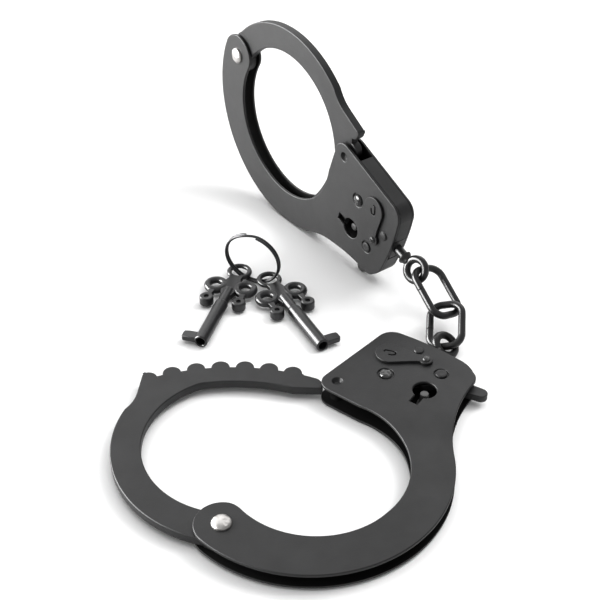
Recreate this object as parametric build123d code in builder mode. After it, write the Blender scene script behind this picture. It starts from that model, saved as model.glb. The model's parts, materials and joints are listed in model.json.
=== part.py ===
"""A pair of chain-linked handcuffs lying beside two tubular keys on a split ring.

Millimetres, +Z up, the table top at Z = 0.  One cuff lies flat on its back cheek
plate and the other stands on edge, on its arm and on the tip of its release tab.
The origin is on the table under the key post of the flat cuff.

Each cuff is drawn in its own frame: the jaw pivot at (0, 0), the lock case up and
to the right, the mid plane of the sheet-metal case at z = 0 and the keyhole face
towards +z.
"""

import os
from math import acos, atan2, cos, degrees, hypot, radians, sin

from build123d import *

# ---- sheet-metal case ---------------------------------------------------------
SHEET = 1.0                      # thickness of each cheek plate
ARM_HALF = 2.7                   # outer face of the arm, from the mid plane
CASE_HALF = 3.5                  # outer face of the lock case, from the mid plane
JOGGLE_START = 30.0              # the plates spread apart between these two lines
JOGGLE_END = 44.0
SHEET_REACH = 100.0              # longer than any cheek plate

LOBE_RADIUS = 7.75               # round end of the arm, about the jaw pivot
ARM_CENTRE = (23.6, 23.7)        # centre of the arm's outer edge
ARM_RADIUS = hypot(*ARM_CENTRE) + LOBE_RADIUS
NECK_CENTRE = (114.5, 27.0)      # centre of the hollow neck beside the keyhole
NECK_RADIUS = hypot(NECK_CENTRE[0] - ARM_CENTRE[0], NECK_CENTRE[1] - ARM_CENTRE[1]) - ARM_RADIUS
WRIST_CENTRE = (25.2, 21.9)      # centre of the wrist opening
WRIST_RADIUS = 26.2
WRIST_SHOULDER = (25.9, 22.6)    # centre of the opening beside the lock case

# ---- points inside the lock case ----------------------------------------------
DIMPLE = (32.3, 56.5)            # jaw guide pressed into both plates
DIMPLE_DEPTH = 0.7
GUIDE_GAP = 0.27                 # between the guides and the jaw
PAWL_PIVOT = (47.2, 59.9)
RELEASE_PIVOT = (64.3, 59.8)
SAFETY_PIVOT = (49.0, 68.9)
SAFETY_TIP = (60.1, 65.6)
STOP_STUD = (58.3, 70.9)
KEYHOLE = (58.6, 52.4)
KEYHOLE_RADIUS = 3.7
KEYHOLE_SLOT_WIDTH = 2.8
KEYHOLE_SLOT_REACH = 6.9
KEYHOLE_SLOT_ANGLE = 235.0
POST_RADIUS = 1.4
POST_SINK = 1.4                  # the post ends this far inside the keyhole face
SWIVEL_BASE = (63.8, 72.6)       # where the swivel leaves the case
SWIVEL_ANGLE = 53.13             # direction of the swivel in the cuff plane

BAND = 1.3                       # wall closing the case between the plates
BAND_HALF = CASE_HALF - SHEET - 0.05
INSIDE_HALF = CASE_HALF - SHEET

# ---- jaw ----------------------------------------------------------------------
JAW_HALF = 1.45                  # half the thickness of the toothed jaw
JAW_LOBE = 6.5
JAW_OUTER_CENTRE = (26.3, 20.3)
JAW_OUTER_RADIUS = 38.5
JAW_INNER_CENTRE = (25.0, 21.3)
JAW_INNER_RADIUS = 28.0
TOOTH_PITCH = 6.65               # degrees about the pivot
FIRST_TOOTH = 29.0
TOOTH_COUNT = 7                  # the seventh is the shoulder
VALLEY_RADIUS = 65.6
TOOTH_RADIUS = 2.9
VALLEY_FILLET = 0.6
PIVOT_SHANK = 2.0
RUNNING_FIT = 0.05               # radial clearance of every pin

# ---- lock works ---------------------------------------------------------------
PAWL_HALF = 1.5
PAWL_LIFT = 9.5                  # the pawl is held this far out of the teeth
PAWL_TEETH = (39.0, 32.3)        # where the pawl teeth drop into the jaw
PAWL_INNER = 69.2
PAWL_OUTER = 71.2
RELEASE_HALF = 1.2
TAB_END = (74.14, 51.0)          # rounded tip of the release tab, pressed in
TAB_RADIUS = 2.0
TAB_SWING = 14.5                 # the tab springs back this far when let go
PIN_RADIUS = 1.7
SPRING_LEAF = 0.45
STUD_SHANK = 1.2                 # of the stop stud and of the safety lever's rivet
LEVER_GAP = 0.1                  # under the safety lever
LEVER_THICK = 1.0
LEVER_HEAD = 4.6                 # radii of its two round ends
LEVER_TIP = 2.2
PAWL_HUB = 3.4
RELEASE_HUB = 3.2

# ---- chain and keys -----------------------------------------------------------
EYE_RADIUS = 3.65                # swivel eye, centre line
EYE_WIRE = 1.35
SWIVEL_SHANK = 1.7
SWIVEL_LENGTH = 14.5             # inner head to the centre of the eye
LINK_WIRE = 1.2
LINK_CORNER = 4.0
KEY_HEIGHT = 2.3                 # mid plane of the keys above the table
KEY_BARREL = 2.25
KEY_BORE = 1.5
KEY_LENGTH = 26.0
KEY_BORE_DEPTH = 12.0
BIT_WIDTH = 3.4                  # along the barrel
BIT_REACH = 6.7                  # from the axis
BOW_TOP = 14.4                   # the ring the split ring passes through
BOW_TOP_RING = 3.55
BOW_TOP_WIRE = 0.85
BOW_SIDE = (4.9, 5.3)
BOW_SIDE_RING = 2.95
BOW_SIDE_WIRE = 1.25
DRUM = (-3.8, 0.45)              # drums beside the barrel, a little wider apart
DRUM_RADIUS = 2.4
DRUM_HALF = 1.6
DRUM_HOLE = 0.8
RING_RADIUS = 9.88
RING_WIRE = 0.45
RING_PITCH = 0.95                # between the two coils
RING_JOINT = 90.0                # the top, where the coils run together
RING_CENTRE = (-4.8, 83.4, 10.36)
RING_NORMAL = (-0.862, -0.502, -0.085)


def on_circle(centre, radius, angle):
    """The point of a circle at an angle in degrees."""
    turn = radians(angle)
    return (centre[0] + radius * cos(turn), centre[1] + radius * sin(turn))


# ---- where the two cuffs lie --------------------------------------------------
# The standing cuff touches the table along its arm and at the tip of its release
# tab: the downward direction makes both circles reach equally far.
span = (TAB_END[0] - ARM_CENTRE[0], TAB_END[1] - ARM_CENTRE[1])
down = atan2(span[1], span[0]) - acos((ARM_RADIUS - TAB_RADIUS) / hypot(*span))
STAND_HEIGHT = ARM_CENTRE[0] * cos(down) + ARM_CENTRE[1] * sin(down) + ARM_RADIUS

FLAT = Plane(origin=(-78.12, -7.2, CASE_HALF), x_dir=(0.8013, -0.5982, 0), z_dir=(0, 0, 1))
STANDING = Plane(
    origin=(30.9, 138.4, STAND_HEIGHT),
    x_dir=(0, sin(down), -cos(down)),
    z_dir=(-1, 0, 0),
)
JAW_OPEN = 44.5                  # the flat cuff's jaw is swung this far open


def turned(cuff, centre, angle):
    """A cuff plane turned about a point of the cuff."""
    there = Location((centre[0], centre[1], 0), (0, 0, angle))
    return cuff * there * Location((-centre[0], -centre[1], 0))


def upright(cuff, point):
    """A plane through a point of the cuff whose own y runs along the cuff's z."""
    origin = cuff.from_local_coords(Vector(point[0], point[1], 0))
    return Plane(origin=origin, x_dir=cuff.x_dir, z_dir=-cuff.y_dir)


def raised(cuff, height):
    """The cuff plane lifted along its own z."""
    return cuff.offset(height)


def turned_profile(cuff, point, profile):
    """Revolve a half profile of (radius, height) points about the cuff's normal."""
    section = upright(cuff, point)
    with BuildPart() as body:
        with BuildSketch(section):
            with BuildLine():
                Polyline(*profile, close=True)
            make_face()
        revolve(axis=Axis(section.origin, cuff.z_dir))
    return body.part


# ---- cheek plates and the walls between them ----------------------------------
def plate_outline():
    """The edge of a cheek plate: arm, neck, lock case and wrist opening."""
    arm_start = on_circle((0, 0), LOBE_RADIUS, degrees(atan2(*ARM_CENTRE[::-1])) + 180)
    neck_start = on_circle(
        ARM_CENTRE,
        ARM_RADIUS,
        degrees(atan2(NECK_CENTRE[1] - ARM_CENTRE[1], NECK_CENTRE[0] - ARM_CENTRE[0])),
    )
    neck_end = on_circle(NECK_CENTRE, NECK_RADIUS, 144.0)
    wrist_top = on_circle(WRIST_SHOULDER, WRIST_RADIUS, 61.0)
    wrist_side = on_circle(WRIST_SHOULDER, WRIST_RADIUS, -45.0)
    wrist_end = on_circle(WRIST_CENTRE, WRIST_RADIUS, -140.5)
    lobe_start = on_circle((0, 0), LOBE_RADIUS, 78.0)
    with BuildSketch() as shape:
        with BuildLine():
            ThreePointArc(arm_start, on_circle(ARM_CENTRE, ARM_RADIUS, -80), neck_start)
            ThreePointArc(neck_start, on_circle(NECK_CENTRE, NECK_RADIUS, 163), neck_end)
            ThreePointArc(neck_end, (74.8, 58.4), (74.3, 60.6))
            ThreePointArc((74.3, 60.6), (73.1, 63.8), (70.8, 66.5))
            ThreePointArc((70.8, 66.5), (62.1, 73.85), (53.0, 79.9))
            ThreePointArc((53.0, 79.9), (49.6, 80.5), (46.5, 78.9))
            Line((46.5, 78.9), (28.6, 59.4))
            ThreePointArc((28.6, 59.4), (27.4, 56.2), (29.0, 52.9))
            Line((29.0, 52.9), wrist_top)
            ThreePointArc(wrist_top, on_circle(WRIST_SHOULDER, WRIST_RADIUS, 8), wrist_side)
            ThreePointArc(wrist_side, on_circle(WRIST_CENTRE, WRIST_RADIUS, -95), wrist_end)
            ThreePointArc(wrist_end, (3.6, 6.58), lobe_start)
            ThreePointArc(lobe_start, on_circle((0, 0), LOBE_RADIUS, 150), arm_start)
        make_face()
    return shape.sketch


def sheet_section(side):
    """The joggled sheet seen along the plates, on the front or the back side."""
    middle = (JOGGLE_START + JOGGLE_END) / 2
    half = (ARM_HALF + CASE_HALF) / 2
    with BuildSketch() as shape:
        with BuildLine():
            for inset in (0, SHEET):
                arm = (ARM_HALF - inset) * side
                case = (CASE_HALF - inset) * side
                Line((-25, arm), (JOGGLE_START, arm))
                TangentArc((JOGGLE_START, arm), (middle, (half - inset) * side), tangent=(1, 0))
                TangentArc((JOGGLE_END, case), (middle, (half - inset) * side), tangent=(-1, 0))
                Line((JOGGLE_END, case), (90, case))
            Line((-25, ARM_HALF * side), (-25, (ARM_HALF - SHEET) * side))
            Line((90, CASE_HALF * side), (90, (CASE_HALF - SHEET) * side))
        make_face()
    return shape.sketch


def cheek_plate(cuff, side):
    """One cheek plate with its jaw guide dimple and its rivet holes."""
    section = Plane(origin=cuff.origin, x_dir=cuff.y_dir, z_dir=cuff.x_dir)
    outer = CASE_HALF * side
    inner = INSIDE_HALF * side
    guide = (JAW_HALF + GUIDE_GAP) * side
    dent = (CASE_HALF - DIMPLE_DEPTH) * side
    with BuildPart() as plate:
        with BuildSketch(cuff):
            add(plate_outline())
        extrude(amount=CASE_HALF + SHEET, both=True)
        with BuildSketch(section):
            add(sheet_section(side))
        extrude(amount=SHEET_REACH, both=True, mode=Mode.INTERSECT)
        with BuildSketch(upright(cuff, DIMPLE)):
            with BuildLine():
                Polyline((0, inner), (2.2, inner), (1.2, guide), (0, guide), close=True)
            make_face()
        revolve(axis=Axis(upright(cuff, DIMPLE).origin, cuff.z_dir))
        with BuildSketch(upright(cuff, DIMPLE)):
            with BuildLine():
                Polyline((0, outer), (1.7, outer), (0.8, dent), (0, dent), close=True)
            make_face()
        revolve(axis=Axis(upright(cuff, DIMPLE).origin, cuff.z_dir), mode=Mode.SUBTRACT)
        with BuildSketch(cuff):
            Circle(PIVOT_SHANK)
            with Locations(PAWL_PIVOT):
                Circle(PIN_RADIUS)
            with Locations(RELEASE_PIVOT):
                Circle(PIN_RADIUS)
        extrude(amount=(CASE_HALF + SHEET) * side, mode=Mode.SUBTRACT)
    return plate


def front_plate(cuff):
    """The cheek plate with the keyhole and the holes of the safety lever."""
    plate = cheek_plate(cuff, 1)
    with BuildPart() as front:
        add(plate.part)
        with BuildSketch(cuff):
            with Locations(KEYHOLE):
                Circle(KEYHOLE_RADIUS)
            with Locations(Location((*KEYHOLE, 0), (0, 0, KEYHOLE_SLOT_ANGLE))):
                Rectangle(
                    KEYHOLE_SLOT_REACH,
                    KEYHOLE_SLOT_WIDTH,
                    align=(Align.MIN, Align.CENTER),
                )
            with Locations(SAFETY_PIVOT, STOP_STUD):
                Circle(STUD_SHANK)
        extrude(amount=CASE_HALF + SHEET, mode=Mode.SUBTRACT)
    return front


def wall(cuff, region):
    """A strip just inside the edge of the plates, kept within a region."""
    with BuildPart() as strip:
        with BuildSketch(cuff):
            add(plate_outline())
            offset(amount=-BAND, mode=Mode.SUBTRACT)
            Polygon(*region, align=None, mode=Mode.INTERSECT)
        extrude(amount=BAND_HALF, both=True)
    return strip


def edge_band(cuff):
    """The wall from the jaw entry round the top corner to the swivel."""
    return wall(cuff, [(30.6, 66.6), (36.4, 61.3), (50.0, 72.0), (58.6, 72.6), (63.0, 78.6), (50, 90)])


def corner_band(cuff):
    """The wall from the swivel round the right corner to the release tab."""
    return wall(cuff, [(65.6, 67.4), (71.0, 73.0), (80.0, 70.0), (80.0, 59.6), (68.0, 59.6)])


def swivel_bush(cuff):
    """The bored block that carries the swivel in the top wall."""
    bush_plane = turned(cuff, SWIVEL_BASE, SWIVEL_ANGLE)
    with BuildPart() as bush:
        with BuildSketch(bush_plane):
            with Locations((SWIVEL_BASE[0] - 2.0, SWIVEL_BASE[1])):
                Rectangle(4.0, 8.0)
        extrude(amount=BAND_HALF, both=True)
        with BuildSketch(swivel_plane(cuff)):
            Circle(SWIVEL_SHANK + RUNNING_FIT)
        extrude(amount=10, both=True, mode=Mode.SUBTRACT)
    return bush


# ---- rivets and posts ---------------------------------------------------------
def pivot_rivet(cuff):
    """The rivet the jaw turns on, domed on the keyhole side."""
    top = ARM_HALF
    return turned_profile(
        cuff,
        (0, 0),
        [
            (0, -top - 0.75),
            (2.2, -top - 0.6),
            (2.8, -top),
            (PIVOT_SHANK, -top),
            (PIVOT_SHANK, top),
            (2.8, top),
            (2.8, top + 0.5),
            (2.5, top + 0.95),
            (1.6, top + 1.15),
            (0, top + 1.2),
        ],
    )


def case_pin(cuff, point, head):
    """A pin through the case, domed on the keyhole side and flush on the back."""
    top = CASE_HALF
    return turned_profile(
        cuff,
        point,
        [
            (0, -top),
            (PIN_RADIUS, -top),
            (PIN_RADIUS, top),
            (head, top),
            (head * 0.8, top + 0.25),
            (0, top + 0.4),
        ],
    )


def key_post(cuff):
    """The post in the keyhole that the hollow key fits over."""
    return turned_profile(
        cuff,
        KEYHOLE,
        [
            (0, -INSIDE_HALF),
            (2.2, -INSIDE_HALF),
            (2.2, -INSIDE_HALF + 0.6),
            (POST_RADIUS, -INSIDE_HALF + 0.6),
            (POST_RADIUS, CASE_HALF - POST_SINK - 0.3),
            (POST_RADIUS - 0.3, CASE_HALF - POST_SINK),
            (0, CASE_HALF - POST_SINK),
        ],
    )


def stop_stud(cuff):
    """The stud that stops the safety lever."""
    top = CASE_HALF
    return turned_profile(
        cuff,
        STOP_STUD,
        [
            (0, INSIDE_HALF),
            (STUD_SHANK, INSIDE_HALF),
            (STUD_SHANK, top),
            (STUD_SHANK - 0.2, top + 0.4),
            (0, top + 0.5),
        ],
    )


def safety_rivet(cuff):
    """The rivet the safety lever turns on."""
    top = CASE_HALF + LEVER_GAP + LEVER_THICK
    return turned_profile(
        cuff,
        SAFETY_PIVOT,
        [
            (0, INSIDE_HALF),
            (STUD_SHANK, INSIDE_HALF),
            (STUD_SHANK, top + 0.05),
            (2.2, top + 0.05),
            (2.0, top + 0.35),
            (0, top + 0.5),
        ],
    )


# ---- moving lock parts --------------------------------------------------------
def jaw_outline():
    """The toothed jaw in its closed position."""
    outer_start = on_circle(JAW_OUTER_CENTRE, JAW_OUTER_RADIUS, 212)
    outer_end = on_circle(JAW_OUTER_CENTRE, JAW_OUTER_RADIUS, 115.2)
    inner_start = on_circle(JAW_INNER_CENTRE, JAW_INNER_RADIUS, 72.1)
    inner_end = on_circle(JAW_INNER_CENTRE, JAW_INNER_RADIUS, 213.5)
    teeth_start = on_circle((0, 0), VALLEY_RADIUS, 67.5)
    teeth_end = on_circle((0, 0), VALLEY_RADIUS, 21.9)
    with BuildSketch() as shape:
        with BuildLine():
            ThreePointArc(outer_start, on_circle(JAW_OUTER_CENTRE, JAW_OUTER_RADIUS, 165), outer_end)
            ThreePointArc(outer_end, (13.7, 56.2), (16.9, 58.2))
            Line((16.9, 58.2), (24.0, 64.2))
            Line((24.0, 64.2), teeth_start)
            ThreePointArc(teeth_start, on_circle((0, 0), VALLEY_RADIUS, 45), teeth_end)
            ThreePointArc(teeth_end, (60.4, 21.9), (58.5, 20.2))
            Line((58.5, 20.2), (52.4, 26.8))
            ThreePointArc((52.4, 26.8), (43.5, 39.6), inner_start)
            ThreePointArc(inner_start, on_circle(JAW_INNER_CENTRE, JAW_INNER_RADIUS, 150), inner_end)
            Line(inner_end, outer_start)
        make_face()
        Circle(JAW_LOBE)
    return shape.sketch


def jaw(cuff):
    """The single swing-through jaw with its row of round teeth."""
    teeth = [
        on_circle((0, 0), VALLEY_RADIUS, FIRST_TOOTH + TOOTH_PITCH * number)
        for number in range(TOOTH_COUNT)
    ]
    with BuildPart() as body:
        with BuildSketch(cuff) as blade:
            add(jaw_outline())
            with Locations(*teeth):
                Circle(TOOTH_RADIUS)
            Polygon((10, 52.4), (24.3, 64.45), (20, 72), (4, 60), align=None, mode=Mode.SUBTRACT)
            valleys = [
                corner
                for corner in blade.vertices()
                if abs(hypot(corner.X, corner.Y) - VALLEY_RADIUS) < 0.4
                and FIRST_TOOTH < degrees(atan2(corner.Y, corner.X)) < 67.4
            ]
            fillet(valleys, radius=VALLEY_FILLET)
            Circle(PIVOT_SHANK + RUNNING_FIT, mode=Mode.SUBTRACT)
        extrude(amount=JAW_HALF, both=True)
    return body


def pawl(cuff, lift):
    """The pawl, lifted out of the jaw teeth by an angle."""
    lifted = turned(cuff, PAWL_PIVOT, lift)
    arm_end = on_circle((0, 0), PAWL_OUTER - 0.6, 30.8)
    arm_toe = on_circle((0, 0), PAWL_INNER, 30.4)
    with BuildPart() as body:
        with BuildSketch(lifted):
            with BuildLine():
                ThreePointArc(
                    on_circle((0, 0), PAWL_INNER, 50),
                    on_circle((0, 0), PAWL_INNER, 40),
                    arm_toe,
                )
                Line(arm_toe, arm_end)
                ThreePointArc(
                    arm_end,
                    on_circle((0, 0), PAWL_OUTER, 38),
                    on_circle((0, 0), PAWL_OUTER + 1.5, 46),
                )
                Line(on_circle((0, 0), PAWL_OUTER + 1.5, 46), (50.5, 59.0))
                Line((50.5, 59.0), (43.9, 60.0))
                Line((43.9, 60.0), on_circle((0, 0), PAWL_INNER, 50))
            make_face()
            with Locations(PAWL_PIVOT):
                Circle(PAWL_HUB)
            Polygon((47.2, 63.1), (57.6, 61.5), (58.0, 60.4), (57.6, 59.0), (49.0, 58.2), align=None)
            for angle in PAWL_TEETH:
                with Locations(Rotation(0, 0, angle)):
                    Polygon((66.2, -0.6), (66.2, 0.6), (69.6, 2.4), (69.6, -2.4), align=None)
            with Locations(PAWL_PIVOT):
                Circle(PIN_RADIUS + RUNNING_FIT, mode=Mode.SUBTRACT)
        extrude(amount=PAWL_HALF, both=True)
    return body


def pawl_spring(cuff):
    """The leaf that presses the pawl towards the teeth."""
    with BuildPart() as leaf:
        with BuildSketch(cuff):
            with BuildLine():
                spine = Spline((41.0, 67.9), (45.6, 73.2), (49.2, 74.3), (52.4, 71.2), (55.4, 65.4))
            trace(spine, line_width=SPRING_LEAF)
        extrude(amount=PAWL_HALF, both=True)
    return leaf


def release_lever(cuff, swing):
    """The lever whose toe lifts the pawl and whose tab sticks out of the case."""
    placed = turned(cuff, RELEASE_PIVOT, swing)
    lean = degrees(atan2(TAB_END[1] - RELEASE_PIVOT[1], TAB_END[0] - RELEASE_PIVOT[0]))
    reach = hypot(TAB_END[1] - RELEASE_PIVOT[1], TAB_END[0] - RELEASE_PIVOT[0])
    with BuildPart() as body:
        with BuildSketch(placed):
            with Locations(RELEASE_PIVOT):
                Circle(RELEASE_HUB)
            Polygon((57.4, 60.1), (64.3, 61.0), (64.3, 57.0), (58.0, 58.4), (57.4, 59.0), align=None)
            with Locations(Location((*RELEASE_PIVOT, 0), (0, 0, lean))):
                Rectangle(reach, 2 * TAB_RADIUS, align=(Align.MIN, Align.CENTER))
            with Locations(TAB_END):
                Circle(TAB_RADIUS)
            with Locations(RELEASE_PIVOT):
                Circle(PIN_RADIUS + RUNNING_FIT, mode=Mode.SUBTRACT)
        extrude(amount=RELEASE_HALF, both=True)
    return body


def safety_lever(cuff):
    """The teardrop lever lying on the keyhole face."""
    face = raised(cuff, CASE_HALF + LEVER_GAP)
    with BuildPart() as body:
        with BuildSketch(face):
            with Locations(SAFETY_PIVOT):
                Circle(LEVER_HEAD)
            with Locations(SAFETY_TIP):
                Circle(LEVER_TIP)
            make_hull()
            with Locations(SAFETY_PIVOT):
                Circle(STUD_SHANK + RUNNING_FIT, mode=Mode.SUBTRACT)
        extrude(amount=LEVER_THICK)
    return body


def safety_stud(cuff):
    """The small stud on the tip of the safety lever."""
    top = CASE_HALF + LEVER_GAP + LEVER_THICK
    return turned_profile(
        cuff,
        SAFETY_TIP,
        [(0, top), (1.1, top), (1.0, top + 0.4), (0.7, top + 0.6), (0, top + 0.7)],
    )


# ---- swivels and links --------------------------------------------------------
def swivel_plane(cuff):
    """A plane across the swivel where it leaves the case."""
    return Plane(
        origin=cuff.from_local_coords(Vector(*SWIVEL_BASE, 0)),
        x_dir=cuff.z_dir,
        z_dir=cuff.x_dir * cos(radians(SWIVEL_ANGLE)) + cuff.y_dir * sin(radians(SWIVEL_ANGLE)),
    )


def swivel(cuff, reach, eye_turn):
    """A swivel: inner head, shank, flared collar and a round eye."""
    across = swivel_plane(cuff)
    axis = Axis(across.origin, across.z_dir)
    along = Plane(origin=across.origin, x_dir=across.x_dir, z_dir=-across.y_dir)
    head = reach - SWIVEL_LENGTH
    with BuildPart() as body:
        with BuildSketch(along):
            with BuildLine():
                Polyline(
                    (0, head - 1.4),
                    (2.1, head - 1.4),
                    (2.1, head),
                    (SWIVEL_SHANK, head),
                    (SWIVEL_SHANK, reach - 6.4),
                    (2.4, reach - 6.4),
                    (2.4, reach - 5.8),
                    (1.9, reach - 4.9),
                    (1.7, reach - EYE_RADIUS - 0.4),
                    (0, reach - EYE_RADIUS),
                    close=True,
                )
            make_face()
        revolve(axis=axis)
        turn = Location(across) * Location((0, 0, reach), (0, 0, eye_turn))
        with Locations(turn * Location((0, 0, 0), (0, 90, 0))):
            Torus(EYE_RADIUS, EYE_WIRE)
    return body


def link(centre, across, along, width, length):
    """One chain link bent from round wire."""
    plane = Plane(origin=centre, x_dir=across, z_dir=Vector(*across).cross(Vector(*along)))
    with BuildSketch(plane) as loop:
        RectangleRounded(width, length, LINK_CORNER)
    path = loop.sketch.faces()[0].outer_wire()
    with BuildPart() as body:
        with BuildSketch(Plane(origin=path @ 0, z_dir=path % 0)):
            Circle(LINK_WIRE)
        sweep(path=path)
    return body


# ---- keys and their ring ------------------------------------------------------
def key(start, direction, bit_side):
    """A tubular handcuff key: three-ring bow, two drums, hollow barrel and bit."""
    turn = radians(direction)
    flat = Plane(origin=(*start, KEY_HEIGHT), x_dir=(-cos(turn), -sin(turn), 0), z_dir=(0, 0, 1))
    across = Plane(origin=flat.origin, z_dir=-flat.x_dir)
    place = Location(flat)
    drum_side = BOW_SIDE[1] + DRUM[1]
    with BuildPart() as body:
        with BuildSketch(across):
            Circle(KEY_BARREL)
        extrude(amount=KEY_LENGTH)
        with BuildSketch(across):
            Circle(KEY_BARREL * 0.8)
        extrude(amount=-3.0)
        with Locations(place * Location((BOW_TOP, 0, 0))):
            Torus(BOW_TOP_RING, BOW_TOP_WIRE)
        for y in (-BOW_SIDE[1], BOW_SIDE[1]):
            with Locations(place * Location((BOW_SIDE[0], y, 0))):
                Torus(BOW_SIDE_RING, BOW_SIDE_WIRE)
        for y in (-drum_side, drum_side):
            with Locations(place * Location((DRUM[0], y, 0))):
                Cylinder(DRUM_RADIUS, 2 * DRUM_HALF)
        with BuildSketch(flat):
            with Locations(((BOW_TOP - BOW_TOP_RING + 1.0) / 2, 0)):
                Rectangle(BOW_TOP - BOW_TOP_RING - 1.0, 4.6)
            with Locations((-0.6, BOW_SIDE[1] + 0.2), (-0.6, -BOW_SIDE[1] - 0.2)):
                Rectangle(4.4, 2.2)
            with Locations((2.0 - KEY_LENGTH, bit_side * (KEY_BORE + 0.3))):
                Rectangle(
                    BIT_WIDTH,
                    BIT_REACH - KEY_BORE - 0.3,
                    align=(Align.CENTER, Align.MIN if bit_side > 0 else Align.MAX),
                )
        extrude(amount=1.0, both=True)
        with BuildSketch(across.offset(KEY_LENGTH - KEY_BORE_DEPTH)):
            Circle(KEY_BORE)
        extrude(amount=KEY_BORE_DEPTH + 1, mode=Mode.SUBTRACT)
        with Locations(*(place * Location((DRUM[0], y, DRUM_HALF)) for y in (-drum_side, drum_side))):
            Cylinder(DRUM_HOLE, 2.4, mode=Mode.SUBTRACT)
    return body


def split_ring():
    """The split ring: two close coils of wire joined at one spot."""
    coils = Plane(origin=RING_CENTRE, z_dir=RING_NORMAL)
    with BuildPart() as ring:
        for side in (-RING_PITCH / 2, RING_PITCH / 2):
            with Locations(Location(coils.offset(side))):
                Torus(RING_RADIUS, RING_WIRE)
        with Locations(Location(coils) * Location((*on_circle((0, 0), RING_RADIUS, RING_JOINT), 0))):
            Cylinder(RING_WIRE * 0.8, RING_PITCH)
    return ring


# ---- export -------------------------------------------------------------------
def save(shape, name):
    """Write one node of the assembly."""
    solid = shape.part if isinstance(shape, BuildPart) else shape
    solid.label = name
    export_step(solid, "parts/" + name + ".step")


def save_cuff(cuff, name, jaw_angle, pressed, swivel_reach, eye_turn):
    """Write every part of one cuff, its release tab pressed in or let go."""
    save(front_plate(cuff), name + "_front_plate")
    save(cheek_plate(cuff, -1), name + "_back_plate")
    save(edge_band(cuff), name + "_edge_band")
    save(corner_band(cuff), name + "_corner_band")
    save(swivel_bush(cuff), name + "_swivel_bush")
    save(pivot_rivet(cuff), name + "_pivot_rivet")
    save(case_pin(cuff, PAWL_PIVOT, 2.1), name + "_pawl_pin")
    save(case_pin(cuff, RELEASE_PIVOT, 2.5), name + "_release_pin")
    save(key_post(cuff), name + "_key_post")
    save(stop_stud(cuff), name + "_stop_stud")
    save(safety_rivet(cuff), name + "_safety_rivet")
    save(pawl_spring(cuff), name + "_pawl_spring")
    save(jaw(turned(cuff, (0, 0), jaw_angle)), name + "_jaw")
    save(pawl(cuff, PAWL_LIFT if pressed else 0), name + "_pawl")
    save(release_lever(cuff, 0 if pressed else TAB_SWING), name + "_release_lever")
    save(safety_lever(cuff), name + "_safety_lever")
    save(safety_stud(cuff), name + "_safety_stud")
    save(swivel(cuff, swivel_reach, eye_turn), name + "_swivel")


os.makedirs("parts", exist_ok=True)
save_cuff(FLAT, "flat", JAW_OPEN, False, 6.5, 35.5)
save_cuff(STANDING, "standing", 0.0, True, 10.28, -27.3)
save(link((27.32, 19.9, 6.13), (0.626, -0.719, 0.301), (0.627, 0.694, 0.354), 10.67, 15.79), "link_lower")
save(link((32.24, 30.34, 11.35), (0.982, -0.081, -0.171), (0.148, 0.892, 0.428), 10.82, 18.29), "link_upper")
save(key((-18.2, 80.3), -142.6, 1), "key_left")
save(key((-3.6, 64.75), -100.0, -1), "key_right")
save(split_ring(), "split_ring")
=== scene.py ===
"""Looks of the handcuffs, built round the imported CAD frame.  Metres, +Z up.

Each piece is drawn in the millimetres of a plane of its own, such as a cuff's: the jaw
pivot at the origin and the keyhole face towards +z.  finish_mesh places it in the frame.
"""

import json
from math import acos, atan2, cos, degrees, hypot, pi, radians, sin

import bmesh
import bpy
from mathutils import Matrix, Vector, noise


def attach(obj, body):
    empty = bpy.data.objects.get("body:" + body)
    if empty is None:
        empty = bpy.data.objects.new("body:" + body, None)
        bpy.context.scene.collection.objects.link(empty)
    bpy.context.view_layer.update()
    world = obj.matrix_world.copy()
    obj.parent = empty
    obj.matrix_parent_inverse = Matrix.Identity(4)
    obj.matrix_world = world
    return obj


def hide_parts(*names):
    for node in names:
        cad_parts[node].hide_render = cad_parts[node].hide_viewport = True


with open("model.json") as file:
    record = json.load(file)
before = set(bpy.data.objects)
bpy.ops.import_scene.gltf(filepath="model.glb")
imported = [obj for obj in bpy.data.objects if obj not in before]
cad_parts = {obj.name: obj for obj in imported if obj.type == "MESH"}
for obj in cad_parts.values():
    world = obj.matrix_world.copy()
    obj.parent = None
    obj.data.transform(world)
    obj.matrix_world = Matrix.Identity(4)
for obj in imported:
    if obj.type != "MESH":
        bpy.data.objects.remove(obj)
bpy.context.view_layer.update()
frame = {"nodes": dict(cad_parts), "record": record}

MM = 0.001

# ---- dimensions shared with the CAD, in millimetres and degrees -----------------
SHEET = 1.0
ARM_HALF = 2.7
CASE_HALF = 3.5
JOGGLE_START = 30.0
JOGGLE_END = 44.0
LOBE_RADIUS = 7.75
ARM_CENTRE = (23.6, 23.7)
ARM_RADIUS = hypot(*ARM_CENTRE) + LOBE_RADIUS
NECK_CENTRE = (114.5, 27.0)
NECK_RADIUS = hypot(NECK_CENTRE[0] - ARM_CENTRE[0], NECK_CENTRE[1] - ARM_CENTRE[1]) - ARM_RADIUS
WRIST_CENTRE = (25.2, 21.9)
WRIST_RADIUS = 26.2
WRIST_SHOULDER = (25.9, 22.6)
DIMPLE = (32.3, 56.5)
PAWL_PIVOT = (47.2, 59.9)
RELEASE_PIVOT = (64.3, 59.8)
SAFETY_PIVOT = (49.0, 68.9)
SAFETY_TIP = (60.1, 65.6)
STOP_STUD = (58.3, 70.9)
KEYHOLE = (58.6, 52.4)
KEYHOLE_RADIUS = 3.7
KEYHOLE_SLOT_HALF = 1.4          # half the width of the slot
KEYHOLE_SLOT_MOUTH = 3.42        # where its sides leave the round hole
KEYHOLE_SLOT_REACH = 6.9
KEYHOLE_SLOT_ANGLE = 235.0
SWIVEL_BASE = (63.8, 72.6)
SWIVEL_ANGLE = 53.13
JAW_HALF = 1.45
JAW_LOBE = 6.5
JAW_OUTER_CENTRE = (26.3, 20.3)
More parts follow.
